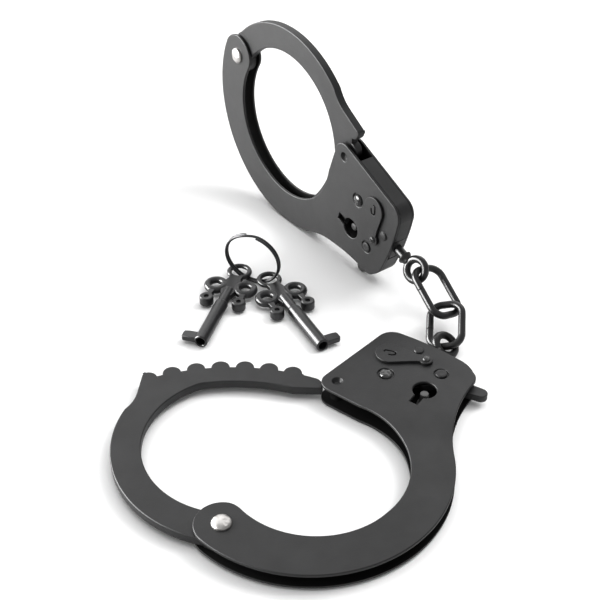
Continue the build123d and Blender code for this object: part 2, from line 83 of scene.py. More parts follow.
JAW_OUTER_RADIUS = 38.5
JAW_INNER_CENTRE = (25.0, 21.3)
JAW_INNER_RADIUS = 28.0
VALLEY_RADIUS = 65.6
TOOTH_RADIUS = 2.9
TOOTH_PITCH = 6.65
FIRST_TOOTH = 29.0
TOOTH_COUNT = 7                  # the last is the shoulder
RELEASE_HALF = 1.2
RELEASE_HUB = 3.2
LEVER_GAP = 0.1                  # under the safety lever
TAB_END = (74.14, 51.0)
TAB_RADIUS = 2.0
TAB_SWING = 14.5
EYE_RADIUS = 3.65
EYE_WIRE = 1.35
LINK_WIRE = 1.2
LINK_CORNER = 4.0
KEY_HEIGHT = 2.3
KEY_BARREL = 2.25
KEY_BORE = 1.5
KEY_LENGTH = 26.0
BOW_TOP = 14.4
BOW_TOP_RING = 3.55
BOW_TOP_WIRE = 0.85
BOW_SIDE = (4.9, 5.3)
BOW_SIDE_RING = 2.95
BOW_SIDE_WIRE = 1.25
DRUM_SIDE = 5.75
DRUM_BACK = -3.8
RING_RADIUS = 9.88
RING_WIRE = 0.45
RING_PITCH = 0.95
RING_CENTRE = (-4.8, 83.4, 10.36)
RING_NORMAL = (-0.862, -0.502, -0.085)
JAW_OPEN = 44.5

# ---- further dimensions of the pieces that show, in millimetres and degrees -----
PLATE_EDGE = 0.32                # rounding of a plate's outer edge
PLATE_BURR = 0.12                # rounding of its inner edge
NECK_END = 144.0
WRIST_TURN = -45.0               # where the wrist opening changes centre
WRIST_END = -140.5
LOBE_START = 78.0
JAW_EDGE = 0.38
JAW_BORE = 2.05
RELEASE_BORE = 1.75
SOFT_EDGE = 0.3
LEVER_THICK = 0.85               # these three are 0.1 to 0.15 less than in the CAD
LEVER_HEAD = 4.5
LEVER_TIP = 2.1
LEVER_EDGE = 0.16
LEVER_BURR = 0.05
DIMPLE_MOUTH = 1.6
PAWL_RECESS = 2.55               # dark ring round the pawl pin's head
RELEASE_RECESS = 2.25
RECESS_FLOOR = 1.0               # inner radius of the recess floors, under the heads
OVERLAP = 0.02                   # keeps two surfaces of one piece from coinciding
GROOVE_WIDTH = 0.5               # of the mark staked into the safety lever
GROOVE_LEAN = -16.5
KEY_PLATE_HALF = 0.95
BIT_HALF = 1.0
BIT_EDGE = 0.25
LINK_STEP = 0.2                  # between the sections of a link's wire
SEAM_DEPTH = 0.13                # of the link's seam, as a share of the wire
SEAM_SHARPNESS = 220
RING_START = 12.0                # turns of the ring's wire, in degrees
RING_END = 708.0
CROSSING = 340.0                 # where one coil crosses over to the other
CROSSING_TURN = 40.0
HAMMERED_FROM = 0.3              # above the arm's face
HAMMER_SCALE = 0.9
SHARP_ANGLE = 35
MITRE_LIMIT = 0.6                # keeps the offset of a sharp corner short
SAME_POINT = 0.02                # closer points of an outline count as one

span = (TAB_END[0] - ARM_CENTRE[0], TAB_END[1] - ARM_CENTRE[1])
down = atan2(span[1], span[0]) - acos((ARM_RADIUS - TAB_RADIUS) / hypot(*span))
STAND_HEIGHT = ARM_CENTRE[0] * cos(down) + ARM_CENTRE[1] * sin(down) + ARM_RADIUS


class Plane:
    """Where a piece is drawn: an origin in millimetres and the directions of x and z."""

    def __init__(self, origin, x_dir, z_dir):
        self.origin = Vector(origin)
        self.x = Vector(x_dir).normalized()
        self.z = Vector(z_dir).normalized()
        self.y = self.z.cross(self.x)

    def at(self, x, y, z=0.0):
        """A point of the plane in metres of the shared frame."""
        return (self.origin + self.x * x + self.y * y + self.z * z) * MM

    def turned(self, centre, angle):
        """The same plane turned in degrees about one of its points."""
        spin = Matrix.Rotation(radians(angle), 3, self.z)
        pivot = self.origin + self.x * centre[0] + self.y * centre[1]
        x_dir = spin @ self.x
        y_dir = self.z.cross(x_dir)
        return Plane(pivot - x_dir * centre[0] - y_dir * centre[1], x_dir, self.z)


FLAT = Plane((-78.12, -7.2, CASE_HALF), (0.8013, -0.5982, 0), (0, 0, 1))
STANDING = Plane((30.9, 138.4, STAND_HEIGHT), (0, sin(down), -cos(down)), (-1, 0, 0))


# ---- flat outlines --------------------------------------------------------------
def on_circle(centre, radius, angle):
    """The point of a circle at an angle in degrees."""
    turn = radians(angle)
    return (centre[0] + radius * cos(turn), centre[1] + radius * sin(turn))


def arc(centre, radius, start, end, step=2.0):
    """Points of an arc from one angle to another, both ends included."""
    count = max(2, int(abs(end - start) / step))
    return [on_circle(centre, radius, start + (end - start) * k / count) for k in range(count + 1)]


def arc_through(a, b, c, count=10):
    """Points of the arc from a through b to c."""
    ax, ay, bx, by, cx, cy = *a, *b, *c
    d = 2 * (ax * (by - cy) + bx * (cy - ay) + cx * (ay - by))
    aa, bb, cc = ax**2 + ay**2, bx**2 + by**2, cx**2 + cy**2
    ux = (aa * (by - cy) + bb * (cy - ay) + cc * (ay - by)) / d
    uy = (aa * (cx - bx) + bb * (ax - cx) + cc * (bx - ax)) / d
    angles = [degrees(atan2(p[1] - uy, p[0] - ux)) for p in (a, b, c)]
    if (angles[1] - angles[0]) % 360 < (angles[2] - angles[0]) % 360:
        sweep = (angles[2] - angles[0]) % 360
    else:
        sweep = -((angles[0] - angles[2]) % 360)
    radius = hypot(ax - ux, ay - uy)
    return [on_circle((ux, uy), radius, angles[0] + sweep * k / count) for k in range(count + 1)]


def circle(centre, radius, count=40):
    """Points all the way round a circle."""
    return [on_circle(centre, radius, 360.0 * k / count) for k in range(count)]


def apart(a, b):
    """The distance between two flat points."""
    return hypot(b[0] - a[0], b[1] - a[1])


def heading_of(a, b):
    """The direction from one flat point to another, in degrees."""
    return degrees(atan2(b[1] - a[1], b[0] - a[0]))


def between(start, end, count):
    """Evenly spaced values from start to end, both included."""
    return [start + (end - start) * k / count for k in range(count + 1)]


def joined(*runs):
    """One closed outline from runs of points, without repeats."""
    points = []
    for run in runs:
        for p in run:
            if not points or apart(p, points[-1]) > SAME_POINT:
                points.append(p)
    if apart(points[0], points[-1]) < SAME_POINT:
        points.pop()
    return points


def area(points):
    """The area inside an outline, above zero if it runs counterclockwise."""
    pairs = zip([points[-1]] + points, points)
    return sum(a[0] * b[1] - b[0] * a[1] for a, b in pairs) / 2


def corner_push(d1, d2):
    """How far a corner moves when both its sides move one to the right."""
    n1, n2 = Vector((d1.y, -d1.x)), Vector((d2.y, -d2.x))
    n = (n1 + n2).normalized()
    return n / max(n.dot(n1), MITRE_LIMIT)


def inset(points, amount):
    """Each point moved to the left of the direction of travel."""
    moved = []
    count = len(points)
    for k in range(count):
        p, a, b = points[k], points[k - 1], points[(k + 1) % count]
        d1 = Vector((p[0] - a[0], p[1] - a[1])).normalized()
        d2 = Vector((b[0] - p[0], b[1] - p[1])).normalized()
        n = corner_push(d1, d2)
        moved.append((p[0] - n.x * amount, p[1] - n.y * amount))
    return moved


def plate_outline():
    """The edge of a cheek plate: arm, neck, lock case, wrist opening and pivot lobe."""
    neck = heading_of(ARM_CENTRE, NECK_CENTRE)
    lobe = heading_of((0, 0), ARM_CENTRE) - 180
    corner = on_circle(NECK_CENTRE, NECK_RADIUS, NECK_END)
    wrist_end = on_circle(WRIST_CENTRE, WRIST_RADIUS, WRIST_END)
    lobe_start = on_circle((0, 0), LOBE_RADIUS, LOBE_START)
    return joined(
        arc(ARM_CENTRE, ARM_RADIUS, lobe, neck, 1.5),
        arc(NECK_CENTRE, NECK_RADIUS, 180 + neck, NECK_END, 1.5),
        arc_through(corner, (74.8, 58.4), (74.3, 60.6)),
        arc_through((74.3, 60.6), (73.1, 63.8), (70.8, 66.5)),
        arc_through((70.8, 66.5), (62.1, 73.85), (53.0, 79.9)),
        arc_through((53.0, 79.9), (49.6, 80.5), (46.5, 78.9)),
        [(46.5, 78.9), (28.6, 59.4)],
        arc_through((28.6, 59.4), (27.4, 56.2), (29.0, 52.9)),
        arc(WRIST_SHOULDER, WRIST_RADIUS, 61.0, WRIST_TURN, 1.5),
        arc(WRIST_CENTRE, WRIST_RADIUS, WRIST_TURN, WRIST_END, 1.5),
        arc_through(wrist_end, (3.6, 6.58), lobe_start),
        arc((0, 0), LOBE_RADIUS, LOBE_START, 225.0, 4.0),
    )


def jaw_outline():
    """The toothed jaw, closed."""
    outer_end = on_circle(JAW_OUTER_CENTRE, JAW_OUTER_RADIUS, 115.2)
    inner_start = on_circle(JAW_INNER_CENTRE, JAW_INNER_RADIUS, 72.1)
    teeth_end = on_circle((0, 0), VALLEY_RADIUS, 21.9)
    last = TOOTH_COUNT - 1
    teeth = []
    for k in range(last, -1, -1):
        middle = FIRST_TOOTH + TOOTH_PITCH * k
        hub = on_circle((0, 0), VALLEY_RADIUS, middle)
        start = 30 if k == last else 92
        end = -92 if k else -80
        teeth += [on_circle(hub, TOOTH_RADIUS, middle + t) for t in between(start, end, 14)]
    return joined(
        arc(JAW_OUTER_CENTRE, JAW_OUTER_RADIUS, 212, 115.2, 2.0),
        arc_through(outer_end, (13.7, 56.2), (16.9, 58.2)),
        [(16.9, 58.2), (23.2, 63.55), (23.9, 63.95), (24.6, 63.98)],
        teeth,
        arc((0, 0), VALLEY_RADIUS, 25.6, 21.9, 1.0),
        arc_through(teeth_end, (60.4, 21.9), (58.5, 20.2)),
        [(58.5, 20.2), (52.4, 26.8)],
        arc_through((52.4, 26.8), (43.5, 39.6), inner_start, 16),
        arc(JAW_INNER_CENTRE, JAW_INNER_RADIUS, 72.1, 211.8, 2.0),
        arc((0, 0), JAW_LOBE, 77, -180, 6.0),
    )


# ---- mesh builders --------------------------------------------------------------
def finish_mesh(name, bm, plane, mirror=False):
    """Turn a mesh in the millimetres of a plane into a placed object."""
    bmesh.ops.recalc_face_normals(bm, faces=bm.faces[:])
    mesh = bpy.data.meshes.new(name)
    if mirror:
        for v in bm.verts:
            v.co.z = -v.co.z
        bmesh.ops.reverse_faces(bm, faces=bm.faces[:])
    for v in bm.verts:
        v.co = plane.at(*v.co)
    bm.to_mesh(mesh)
    bm.free()
    mesh.shade_smooth()
    mesh.set_sharp_from_angle(angle=radians(SHARP_ANGLE))
    piece = bpy.data.objects.new(name, mesh)
    bpy.context.scene.collection.objects.link(piece)
    weighted = piece.modifiers.new("even_shading", "WEIGHTED_NORMAL")
    weighted.keep_sharp = True
    return piece


def fill_outline(outline, holes, height, margin):
    """A flat face inside an outline, less the margin that the rounded edge takes."""
    bm = bmesh.new()
    edges = []
    loops = [outline if area(outline) > 0 else outline[::-1]]
    loops += [hole if area(hole) < 0 else hole[::-1] for hole in holes]
    for loop in loops:
        verts = [bm.verts.new((*p, height)) for p in inset(loop, margin)]
        edges += [bm.edges.new((verts[k - 1], verts[k])) for k in range(len(verts))]
    bmesh.ops.triangle_fill(
        bm, use_beauty=True, use_dissolve=False, edges=edges, normal=(0, 0, 1)
    )
    return bm


def slab(outline, holes, low, high, round_high, round_low, cuts=(), warp=None, steps=4):
    """A flat plate with rounded edges, cut across at some heights and then warped."""
    bm = fill_outline(outline, holes, high, round_high)
    for y in cuts:
        geom = bm.verts[:] + bm.edges[:] + bm.faces[:]
        bmesh.ops.bisect_plane(bm, geom=geom, dist=1e-5, plane_co=(0, y, 0), plane_no=(0, 1, 0))
    bmesh.ops.recalc_face_normals(bm, faces=bm.faces[:])
    if sum(f.normal.z * f.calc_area() for f in bm.faces) < 0:
        bmesh.ops.reverse_faces(bm, faces=bm.faces[:])
    after, before = {}, {}
    for f in bm.faces:
        for corner in f.loops:
            if len(corner.edge.link_faces) == 1:
                a, b = corner.vert, corner.link_loop_next.vert
                after[a], before[b] = b, a
    outward = {}
    for v in after:
        d1 = (v.co - before[v].co).to_2d().normalized()
        d2 = (after[v].co - v.co).to_2d().normalized()
        outward[v] = corner_push(d1, d2)
    rings = []
    for turn in between(0, pi / 2, steps)[1:]:
        rings.append((round_high * sin(turn), high - round_high * (1 - cos(turn))))
    for turn in between(0, pi / 2, steps):
        rings.append((round_high - round_low * (1 - cos(turn)), low + round_low * (1 - sin(turn))))
    current = {v: v for v in after}
    tops = list(bm.faces)
    for push, z in rings:
        fresh = {}
        for v in after:
            p = v.co.to_2d() + outward[v] * push
            fresh[v] = bm.verts.new((p.x, p.y, z))
        for v, w in after.items():
            bm.faces.new((current[w], current[v], fresh[v], fresh[w]))
        current = fresh
    under = dict(current)
    for f in tops:
        for v in f.verts:
            if v not in under:
                under[v] = bm.verts.new((v.co.x, v.co.y, low))
    for f in tops:
        bm.faces.new([under[v] for v in reversed(f.verts)])
    if warp:
        for v in bm.verts:
            v.co.z += warp(v.co.y)
    return bm


def raised(height, profile):
    """Profile points moved up by a height."""
    return [(r, height + z) for r, z in profile]


def lathe(profile, centre, count=40, bm=None):
    """A turned shape from (radius, height) points, about a point of its plane."""
    bm = bm or bmesh.new()
    rings = []
    for r, z in profile:
        if r < 1e-6:
            rings.append([bm.verts.new((centre[0], centre[1], z))])
        else:
            rings.append([bm.verts.new((*p, z)) for p in circle(centre, r, count)])
    for a, b in zip(rings, rings[1:]):
        for k in range(count):
            quad = [a[k % len(a)], a[(k + 1) % len(a)], b[(k + 1) % len(b)], b[k % len(b)]]
            quad = [v for i, v in enumerate(quad) if v not in quad[:i]]
            if len(quad) > 2:
                bm.faces.new(quad)
    return bm


def tube(path, radius, closed=True, count=20, bm=None):
    """A round wire along a path; the radius may be a function of the share covered."""
    bm = bm or bmesh.new()
    total = len(path)
    points = [Vector(p) for p in path]

    def heading(k):
        if closed:
            return (points[(k + 1) % total] - points[k - 1]).normalized()
        return (points[min(k + 1, total - 1)] - points[max(k - 1, 0)]).normalized()

    side = heading(0).orthogonal().normalized()
    sides = []
    for k in range(total):
        d = heading(k)
        side = (side - d * side.dot(d)).normalized()
        sides.append(side.copy())
    twist = 0.0
    if closed:
        d = heading(0)
        last = (side - d * side.dot(d)).normalized()
        twist = atan2(d.dot(last.cross(sides[0])), last.dot(sides[0]))
    rings = []
    for k in range(total):
        d = heading(k)
        u = Matrix.Rotation(twist * k / total, 3, d) @ sides[k]
        v = d.cross(u)
        r = radius(k / (total - 1)) if callable(radius) else radius
        ring = circle((0, 0), r, count)
        rings.append([bm.verts.new(points[k] + u * x + v * y) for x, y in ring])
    for k in range(total if closed else total - 1):
        a, b = rings[k], rings[(k + 1) % total]
        for j in range(count):
            bm.faces.new((a[j], a[(j + 1) % count], b[(j + 1) % count], b[j]))
    if not closed:
        bm.faces.new(rings[0][::-1])
        bm.faces.new(rings[-1])
    return bm


# ---- materials ------------------------------------------------------------------
CLOUD_SCALE = 90.0               # of the mottled colour
SMEAR_SCALE = 260.0              # of the uneven gloss
RELIEF = 0.00006                 # height of the grain, in metres


def new_material(name, colour, spread, roughness, unevenness, metallic, grain, bump, specular=0.5):
    """A coated or bare metal with mottled colour, uneven gloss and fine grain."""
    material = bpy.data.materials.new(name)
    material.use_nodes = True
    nodes, links = material.node_tree.nodes, material.node_tree.links
    shader = nodes["Principled BSDF"]
    shader.inputs["Metallic"].default_value = metallic
    shader.inputs["Specular IOR Level"].default_value = specular
    where = nodes.new("ShaderNodeTexCoord")

    def pattern(scale, detail):
        texture = nodes.new("ShaderNodeTexNoise")
        texture.inputs["Scale"].default_value = scale
        texture.inputs["Detail"].default_value = detail
        links.new(where.outputs["Object"], texture.inputs["Vector"])
        return texture.outputs["Fac"]

    ramp = nodes.new("ShaderNodeValToRGB")
    ramp.color_ramp.elements[0].position = 0.35
    ramp.color_ramp.elements[1].position = 0.7
    ramp.color_ramp.elements[0].color = (*[c * (1 - spread) for c in colour], 1)
    ramp.color_ramp.elements[1].color = (*[c * (1 + spread) for c in colour], 1)
    links.new(pattern(CLOUD_SCALE, 6.0), ramp.inputs["Fac"])
    links.new(ramp.outputs["Color"], shader.inputs["Base Color"])
    gloss = nodes.new("ShaderNodeMapRange")
    gloss.inputs["To Min"].default_value = roughness - unevenness
    gloss.inputs["To Max"].default_value = roughness + unevenness
    links.new(pattern(SMEAR_SCALE, 4.0), gloss.inputs["Value"])
    links.new(gloss.outputs["Result"], shader.inputs["Roughness"])
    relief = nodes.new("ShaderNodeBump")
    relief.inputs["Strength"].default_value = bump
    relief.inputs["Distance"].default_value = RELIEF
    links.new(pattern(grain, 3.0), relief.inputs["Height"])
    links.new(relief.outputs["Normal"], shader.inputs["Normal"])
    return material


# Colour and its spread, roughness and its unevenness, metallic, grain, bump, specular.
FINISHES = {
    "black_coat": ((0.014, 0.014, 0.0145), 0.25, 0.5, 0.06, 0.0, 2600.0, 0.45, 0.42),
    "chain_black": ((0.012, 0.012, 0.0125), 0.3, 0.32, 0.08, 0.0, 1800.0, 0.25, 0.5),
    "key_black": ((0.018, 0.018, 0.019), 0.35, 0.34, 0.08, 0.0, 1500.0, 0.35, 0.5),
    "ring_steel": ((0.03, 0.03, 0.032), 0.2, 0.36, 0.06, 0.2, 1500.0, 0.2),
    "bright_steel": ((0.40, 0.39, 0.38), 0.3, 0.40, 0.14, 1.0, 900.0, 1.0),
    # near-black painted shade, for the faces inside the case and the rivet in the gap under the
    # safety lever
    "painted_shade_black": ((0.004, 0.004, 0.004), 0.2, 0.6, 0.06, 0.0, 2000.0, 0.2, 0.15),
    "post_steel": ((0.09, 0.09, 0.09), 0.2, 0.45, 0.08, 0.2, 1500.0, 0.3),
    # lighter colour painted on the pawl pin's head and the lever's stud as highlight; its lower
    # roughness gives real gloss
    "highlight_black": ((0.08, 0.08, 0.08), 0.5, 0.27, 0.1, 0.35, 1100.0, 0.9),
    "dark_steel": ((0.02, 0.02, 0.02), 0.2, 0.5, 0.08, 0.0, 2000.0, 0.3),
}
MATERIALS = {name: new_material(name, *finish) for name, finish in FINISHES.items()}
slot_of = {part["node"]: part["material_slot"] for part in frame["record"]["subparts"]}
for node, shown in frame["nodes"].items():
    shown.data.materials.clear()
    shown.data.materials.append(MATERIALS[slot_of[node]])


def place(piece, body, nodes, slot, look=None):
    """Ride a finished piece on its body in place of its CAD nodes, in a slot's finish."""
    piece.data.materials.append(MATERIALS[look or slot])
    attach(piece, body)
    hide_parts(*nodes)


# ---- the cuffs ------------------------------------------------------------------
def joggle(y):
    """How far the sheet has spread from the arm to the lock case."""
    t = min(1.0, max(0.0, (y - JOGGLE_START) / (JOGGLE_END - JOGGLE_START)))
    return (CASE_HALF - ARM_HALF) * t * t * (3 - 2 * t)


def keyhole_outline():
    """The round keyhole with its slot."""
    half = degrees(atan2(KEYHOLE_SLOT_HALF, KEYHOLE_SLOT_MOUTH))
    slot = KEYHOLE_SLOT_ANGLE
    ring = arc(KEYHOLE, KEYHOLE_RADIUS, slot + half, slot + 360 - half, 8.0)
    along = Vector(on_circle((0, 0), 1.0, slot))
    side = Vector((-along.y, along.x)) * KEYHOLE_SLOT_HALF
    tip = Vector(KEYHOLE) + along * KEYHOLE_SLOT_REACH
    return ring + [tuple(tip - side), tuple(tip + side)]


def stroke(path, width):
    """The outline of a groove of one width along a path."""
    half = width / 2
    left, right = [], []
    for k, p in enumerate(path):
        a, b = path[max(k - 1, 0)], path[min(k + 1, len(path) - 1)]
        d = Vector((b[0] - a[0], b[1] - a[1])).normalized()
        left.append((p[0] - d.y * half, p[1] + d.x * half))
        right.append((p[0] + d.y * half, p[1] - d.x * half))
    return left + right[::-1]


def plate(cuff, name, front):
    """A cheek plate with its rounded edges, joggle, dimple and recesses."""
    recesses = ((PAWL_PIVOT, PAWL_RECESS, 0.5), (RELEASE_PIVOT, RELEASE_RECESS, 0.45))
    holes = [circle(DIMPLE, DIMPLE_MOUTH, 28)]
    holes += [circle(centre, radius) for centre, radius, depth in recesses]
    if front:
        holes += [keyhole_outline()]
    cuts = between(JOGGLE_START, JOGGLE_END, round(JOGGLE_END - JOGGLE_START))
    outline = plate_outline()
    bm = slab(outline, holes, ARM_HALF - SHEET, ARM_HALF, PLATE_EDGE, PLATE_BURR, cuts, joggle)
    top, bottom = CASE_HALF, CASE_HALF - SHEET
    pit = raised(bottom, [(1.63, 0.05)])
    pit += raised(top, [(1.63, -0.2), (1.35, -0.75), (0.95, -1.15), (0, -1.3)])
    lathe(pit, DIMPLE, 28, bm)
    guide = [(2.4, OVERLAP), (2.1, -0.1), (1.4, -0.65), (1.0, -0.75), (0, -0.78)]
    lathe(raised(bottom, guide), DIMPLE, 28, bm)
    for centre, radius, depth in recesses:
        start = (radius + OVERLAP, bottom + OVERLAP)
        lathe([start, (start[0], top - depth), (RECESS_FLOOR, top - depth)], centre, 40, bm)
        lathe([start, (RECESS_FLOOR, start[1])], centre, 40, bm)
    cheek = name + ("_front_cheek" if front else "_back_cheek")
    return finish_mesh(cheek, bm, cuff, mirror=not front)


def paint_shade_inside(piece, cuff):
    """The faces that look into the case get a near-black colour: painted shade for the inside of
    the case.
    """
    piece.data.materials.append(MATERIALS["painted_shade_black"])
    for face in piece.data.polygons:
        height = (face.center - cuff.at(0, 0)).dot(cuff.z)
        if face.normal.dot(cuff.z) * height < 0:
            face.material_index = 1


def hammered(bm, depth):
    """Uneven flats on the heads that stand out of the case."""
    for v in bm.verts:
        if v.co.z > ARM_HALF + HAMMERED_FROM:
            v.co.z += depth * noise.noise(v.co * HAMMER_SCALE)
    return bm


def rivets(cuff, name, body):
    """Every pin, rivet and post head that shows."""
    arm, case = ARM_HALF, CASE_HALF
    pivot = [(0, -0.75), (1.2, -0.72), (2.1, -0.5), (2.6, -0.15), (2.65, 0), (2.0, 0)]
    pivot = raised(-arm, pivot)
    pivot += raised(arm, [(2.0, -0.02), (2.85, 0), (2.85, 0.25), (2.7, 0.62), (2.3, 0.95)])
    pivot += raised(arm, [(1.6, 1.12), (0.8, 1.19), (0, 1.2)])
    pawl = raised(-case, [(0, 0), (1.6, 0), (1.9, 0.15), (2.0, 0.5), (1.7, 0.5)])
    pawl += raised(case, [(1.7, -0.5), (2.05, -0.5), (2.0, -0.1), (1.75, 0.35), (1.3, 0.62)])
    pawl += raised(case, [(0.7, 0.75), (0, 0.78)])
    disc = raised(-case, [(0, 0), (1.7, 0), (1.85, 0.15), (1.85, 0.4), (1.6, 0.4)])
    disc += raised(case, [(1.6, -0.45), (1.85, -0.45), (1.85, 0), (1.72, 0.22), (1.3, 0.36)])
    disc += raised(case, [(0.8, 0.3), (0, 0.26)])
    stud = raised(case, [(1.2, -0.9), (1.6, 0), (1.6, 0.2), (1.4, 0.45), (0.8, 0.6), (0, 0.63)])
    post = raised(SHEET - case, [(2.2, 0), (2.2, 0.6), (1.4, 0.7)])
    post += raised(case, [(1.4, -1.75), (1.25, -1.5), (0.9, -1.4), (0, -1.38)])
    heads = (
        ("_pivot_head", "_pivot_rivet", (0, 0), pivot, 48, 0.22, "bright_steel", None),
        # the pawl pin's head gets a lighter colour painted on as highlight
        ("_pawl_head", "_pawl_pin", PAWL_PIVOT, pawl, 40, 0.3, "black_coat", "highlight_black"),
        ("_release_head", "_release_pin", RELEASE_PIVOT, disc, 40, 0.0, "black_coat", None),
        ("_stop", "_stop_stud", STOP_STUD, stud, 32, 0.0, "black_coat", None),
        ("_post", "_key_post", KEYHOLE, post, 32, 0.0, "dark_steel", "post_steel"),
    )
    for head, node, centre, profile, count, depth, slot, look in heads:
        bm = hammered(lathe(profile, centre, count), depth)
        place(finish_mesh(name + head, bm, cuff), body, [name + node], slot, look)


def leaning(centre, angle, points):
    """Flat points turned by an angle and moved to a centre."""
    return [on_circle(centre, hypot(x, y), degrees(atan2(y, x)) + angle) for x, y in points]


def lever_outline():
    """The teardrop safety lever: a wide round end, a waist and a round tip."""
    reach = apart(SAFETY_PIVOT, SAFETY_TIP)
    shape = [on_circle((0, 0), LEVER_HEAD, t) for t in between(75, 285, 26)]
    shape += [(reach - 4.2, -2.1), (reach - 2.6, -1.65)]
    shape += [on_circle((reach, 0), LEVER_TIP, t) for t in between(-138, 138, 20)]
    shape += [(reach - 2.6, 1.65), (reach - 4.2, 2.1)]
    return leaning(SAFETY_PIVOT, heading_of(SAFETY_PIVOT, SAFETY_TIP), shape)


def safety(cuff, name):
    """Safety lever with its staked mark, the rivet under it and the stud on its tip."""
    lever, base = name + "_safety_lever", CASE_HALF + LEVER_GAP
    mark = [(-1.9, 0.1), (-1.6, 0.9), (0.9, 0.95), (1.7, 0.6)]
    mark += [(1.95, 0.0), (1.7, -0.6), (0.9, -0.95), (-0.2, -0.95)]
    groove = stroke(leaning(SAFETY_PIVOT, GROOVE_LEAN, mark), GROOVE_WIDTH)
    bm = slab(lever_outline(), [groove], base, base + LEVER_THICK, LEVER_EDGE, LEVER_BURR)
    place(finish_mesh(name + "_lever", bm, cuff), lever, [lever], "black_coat")
    shank = [(0, CASE_HALF - SHEET), (1.2, CASE_HALF - SHEET)]
    shank += raised(base, [(1.2, -OVERLAP), (2.4, 0), (2.4, 0.3), (0, 0.3)])
    piece = finish_mesh(name + "_lever_rivet", lathe(shank, SAFETY_PIVOT, 28), cuff)
    # the shank in the gap under the lever is painted with shade
    place(piece, name + "_cuff", [name + "_safety_rivet"], "black_coat", "painted_shade_black")
    stud = [(1.3, 0.8), (1.25, 1.1), (1.05, 1.42), (0.6, 1.6), (0, 1.65)]
    piece = finish_mesh(name + "_lever_stud", lathe(raised(base, stud), SAFETY_TIP, 28), cuff)
    # the stud gets a lighter colour painted on as highlight
    place(piece, lever, [name + "_safety_stud"], "black_coat", "highlight_black")


def release_outline():
    """The release lever, pressed in: tab, hub and toe."""
    lean = heading_of(RELEASE_PIVOT, TAB_END)
    tip = [on_circle(TAB_END, TAB_RADIUS, lean + t) for t in between(-90, 90, 16)]
    hub = [on_circle(RELEASE_PIVOT, RELEASE_HUB, lean + t) for t in between(60, 130, 6)]
    toe = [(57.4, 60.1), (57.4, 59.0), (58.0, 58.4)]
    hub_low = [on_circle(RELEASE_PIVOT, RELEASE_HUB, t) for t in between(215, 265, 5)]
    return tip + hub + toe + hub_low


def swivel(cuff, name, reach, eye_turn):
    """A swivel: inner head, shank, flared collar, neck and round eye."""
    lean = radians(SWIVEL_ANGLE)
    axis = cuff.x * cos(lean) + cuff.y * sin(lean)
    base = cuff.origin + cuff.x * SWIVEL_BASE[0] + cuff.y * SWIVEL_BASE[1]
    here = Plane(base, Matrix.Rotation(radians(eye_turn), 3, axis) @ cuff.z, axis)
    head = [(0, -15.9), (1.9, -15.9), (2.1, -15.7), (2.1, -14.5), (1.7, -14.5)]
    collar = [(1.7, -6.4), (2.2, -6.4), (2.4, -6.25), (2.4, -5.95), (2.25, -5.6)]
    neck = [(1.9, -5.15), (1.72, -4.6), (1.7, -4.1), (1.6, -3.8), (1.2, -3.5), (0, -3.3)]
    bm = lathe(raised(reach, head + collar + neck), (0, 0), 32)
    eye = [(0, y, reach + z) for y, z in circle((0, 0), EYE_RADIUS, 56)]
    tube(eye, lambda t: EYE_WIRE * (0.95 + 0.05 * cos(2 * pi * (t + 0.25))), bm=bm)
    piece = finish_mesh(name + "_swivel_eye", bm, here)
    place(piece, name + "_swivel", [name + "_swivel"], "chain_black")


def cuff_pieces(cuff, name, jaw_angle, pressed, reach, eye_turn):
    """Every piece of one cuff that shows, its release tab pressed in or let go."""
    body = name + "_cuff"
    for front in (True, False):
        piece = plate(cuff, name, front)
        place(piece, body, [name + ("_front_plate" if front else "_back_plate")], "black_coat")
        # the faces that look into the case get painted shade
        paint_shade_inside(piece, cuff)
    rivets(cuff, name, body)
    safety(cuff, name)
    swung = cuff.turned((0, 0), jaw_angle)
    bore = [circle((0, 0), JAW_BORE)]
    bm = slab(jaw_outline(), bore, -JAW_HALF, JAW_HALF, JAW_EDGE, JAW_EDGE)
    piece = finish_mesh(name + "_toothed_jaw", bm, swung)
    place(piece, name + "_jaw", [name + "_jaw"], "black_coat")
    bore = [circle(RELEASE_PIVOT, RELEASE_BORE)]
    bm = slab(release_outline(), bore, -RELEASE_HALF, RELEASE_HALF, SOFT_EDGE, SOFT_EDGE)
    swung = cuff.turned(RELEASE_PIVOT, 0 if pressed else TAB_SWING)
    piece = finish_mesh(name + "_tab", bm, swung)
    place(piece, name + "_release_lever", [name + "_release_lever"], "black_coat")
    swivel(cuff, name, reach, eye_turn)


cuff_pieces(FLAT, "flat", JAW_OPEN, pressed=False, reach=6.5, eye_turn=35.5)
cuff_pieces(STANDING, "standing", 0.0, pressed=True, reach=10.28, eye_turn=-27.3)


# ---- chain ----------------------------------------------------------------------
def link(name, centre, across, along, width, length, seam):
    """A chain link of round wire whose two ends meet at a fine seam."""
    here = Plane(centre, across, Vector(across).cross(Vector(along)))
    hw, hl = width / 2 - LINK_CORNER, length / 2 - LINK_CORNER
    corners = []
    for sx, sy, start in ((1, 1, 0), (-1, 1, 90), (-1, -1, 180), (1, -1, 270)):
        corners += arc((sx * hw, sy * hl), LINK_CORNER, start, start + 90, 5)
    path = []
    for k, a in enumerate(corners):
        b = corners[(k + 1) % len(corners)]
        count = max(1, int(apart(a, b) / LINK_STEP))
        steps = zip(between(a[0], b[0], count)[:-1], between(a[1], b[1], count))
        path += [(x, y, 0.0) for x, y in steps]
    nearest = min(range(len(path)), key=lambda k: apart(path[k], (-width / 2, seam)))
    dip = nearest / (len(path) - 1)

    def wire(t):
        return LINK_WIRE * (1 - SEAM_DEPTH * max(0.0, 1 - abs(t - dip) * SEAM_SHARPNESS))

    bm = tube(path, wire, count=28)
    place(finish_mesh(name + "_wire", bm, here), name, [name], "chain_black")


